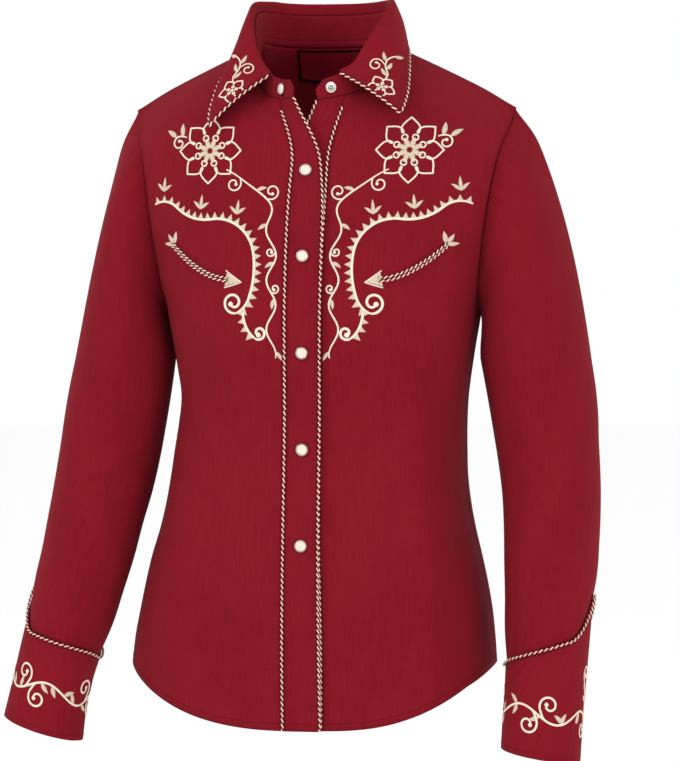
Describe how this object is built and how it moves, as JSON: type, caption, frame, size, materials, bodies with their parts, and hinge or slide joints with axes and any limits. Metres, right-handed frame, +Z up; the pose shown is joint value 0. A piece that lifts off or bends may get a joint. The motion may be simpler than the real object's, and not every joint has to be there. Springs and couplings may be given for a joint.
{
  "type": "western snap shirt",
  "caption": "Long-sleeved women's western shirt with snap front, piped bands, smile pockets, embroidered yoke area and pointed collar.",
  "frame": {"origin": "middle of the neck at the height of the shoulder seams' upper ends, where the wearer's shoulders hold the shirt up", "axes": "+Z up, -Y towards the front of the shirt, +X towards the wearer's left"},
  "size_m": [0.5709, 0.2499, 0.7164],
  "materials": {
    "cloth": "matt cotton twill",
    "piping": "twisted cream and dark red cord",
    "pearl": "pearl cap in a metal rim",
    "metal": "nickel plated",
    "label": "plain woven tab"
  },
  "bodies": {
    "root": {"right_front": "cloth", "left_front": "cloth", "right_band": "cloth", "left_band": "cloth", "back": "cloth", "right_sleeve": "cloth", "left_sleeve": "cloth", "right_cuff": "cloth", "left_cuff": "cloth", "collar_stand": "cloth", "collar_leaf": "cloth", "piping_right_band_seam": "piping", "piping_left_band_seam": "piping", "piping_right_band_edge": "piping", "piping_left_band_edge": "piping", "piping_collar": "piping", "piping_right_cuff": "piping", "piping_left_cuff": "piping", "piping_right_pocket_upper": "piping", "piping_right_pocket_lower": "piping", "piping_left_pocket_upper": "piping", "piping_left_pocket_lower": "piping", "snap_front_1": "pearl", "snap_front_2": "pearl", "snap_front_3": "pearl", "snap_front_4": "pearl", "snap_front_5": "pearl", "snap_collar_cap": "pearl", "snap_collar_stud": "metal", "snap_right_cuff_1": "pearl", "snap_right_cuff_2": "pearl", "snap_left_cuff_1": "pearl", "snap_left_cuff_2": "pearl", "neck_label": "label"}
  },
  "joints": []
}
